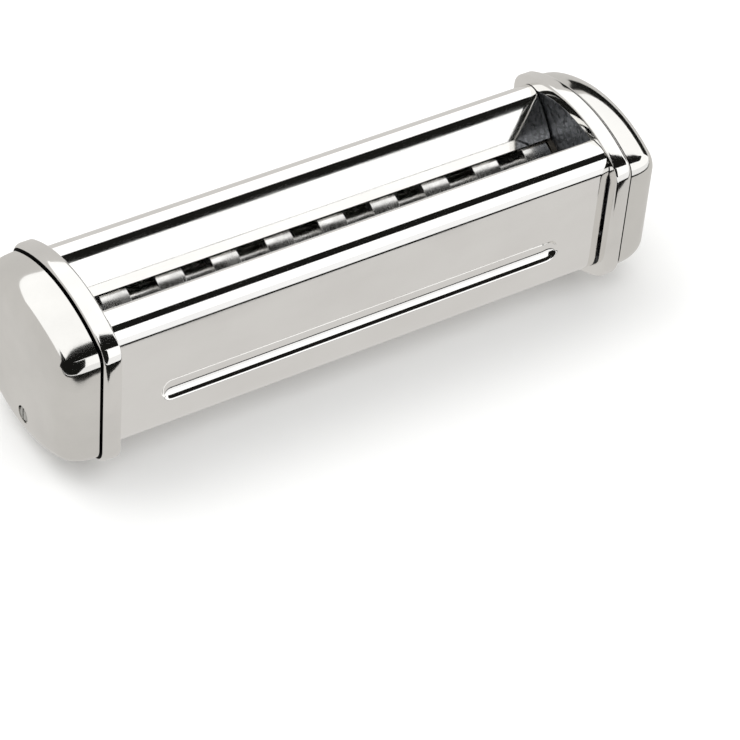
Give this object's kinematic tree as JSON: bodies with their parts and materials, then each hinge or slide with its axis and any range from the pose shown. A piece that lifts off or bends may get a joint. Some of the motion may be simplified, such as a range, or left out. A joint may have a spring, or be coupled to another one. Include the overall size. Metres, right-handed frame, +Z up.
{
  "type": "pasta cutting attachment",
  "caption": "Clip-on pasta cutter: a polished trough feeds dough between two meshing ring rollers, geared together in domed end castings and turned by a crank socket.",
  "frame": {"origin": "on the standing surface, under the middle of the body", "axes": "+X along the rollers towards the crank socket, +Y towards the hooks at the back, +Z up"},
  "size_m": [0.2686, 0.0726, 0.0742],
  "materials": {
    "polished_sheet": "mirror-polished stainless sheet, faint lengthwise brushing",
    "chromed_casting": "bright chrome on a casting",
    "polished_cap": "soft-polished chrome, slightly uneven",
    "galvanised_plate": "dark speckled galvanised plate",
    "roller_metal": "turned aluminium alloy, bright",
    "comb_steel": "spring steel strip",
    "sintered_bush": "dull sintered bronze",
    "gear_steel": "hobbed steel, light grease",
    "socket_steel": "turned steel",
    "hook_steel": "bent steel strip",
    "fastener_steel": "zinc-plated steel"
  },
  "bodies": {
    "housing": {"left_collar": "chromed_casting", "left_cheek": "galvanised_plate", "left_end_plate": "galvanised_plate", "left_end_cap": "polished_cap", "left_cap_screw": "fastener_steel", "left_rod_nut_1": "fastener_steel", "left_rod_nut_2": "fastener_steel", "left_rod_nut_3": "fastener_steel", "left_rod_nut_4": "fastener_steel", "right_collar": "chromed_casting", "right_cheek": "galvanised_plate", "right_end_plate": "galvanised_plate", "right_end_cap": "polished_cap", "right_cap_screw": "fastener_steel", "right_rod_nut_1": "fastener_steel", "right_rod_nut_2": "fastener_steel", "right_rod_nut_3": "fastener_steel", "right_rod_nut_4": "fastener_steel", "front_cover": "polished_sheet", "rear_cover": "polished_sheet", "front_stripper_comb": "comb_steel", "rear_stripper_comb": "comb_steel", "front_upper_tie_rod": "fastener_steel", "rear_upper_tie_rod": "fastener_steel", "front_lower_tie_rod": "fastener_steel", "rear_lower_tie_rod": "fastener_steel", "left_mounting_hook": "hook_steel", "right_mounting_hook": "hook_steel", "hook_rivet_1": "fastener_steel", "hook_rivet_2": "fastener_steel", "hook_rivet_3": "fastener_steel", "hook_rivet_4": "fastener_steel", "front_right_bush": "sintered_bush", "rear_right_bush": "sintered_bush", "rear_left_bush": "sintered_bush", "front_left_bush": "sintered_bush"},
    "drive_roller": {"rear_cutter_roller": "roller_metal", "crank_socket": "socket_steel", "socket_pin": "socket_steel", "drive_gear": "gear_steel", "drive_gear_clip": "fastener_steel"},
    "driven_roller": {"front_cutter_roller": "roller_metal", "driven_gear": "gear_steel", "driven_gear_clip": "fastener_steel", "front_roller_end_clip": "fastener_steel"}
  },
  "joints": [
    {"name": "rear_roller_spin", "type": "hinge", "parent": "housing", "child": "drive_roller", "pos_m": [0, 0.01175, 0.0367], "axis": [1, 0, 0], "continuous": true},
    {"name": "front_roller_spin", "type": "hinge", "parent": "housing", "child": "driven_roller", "pos_m": [0, -0.01175, 0.0367], "axis": [1, 0, 0], "continuous": true}
  ],
  "couplings": [
    {"joint": "front_roller_spin", "follows": "rear_roller_spin", "ratio": -1}
  ]
}
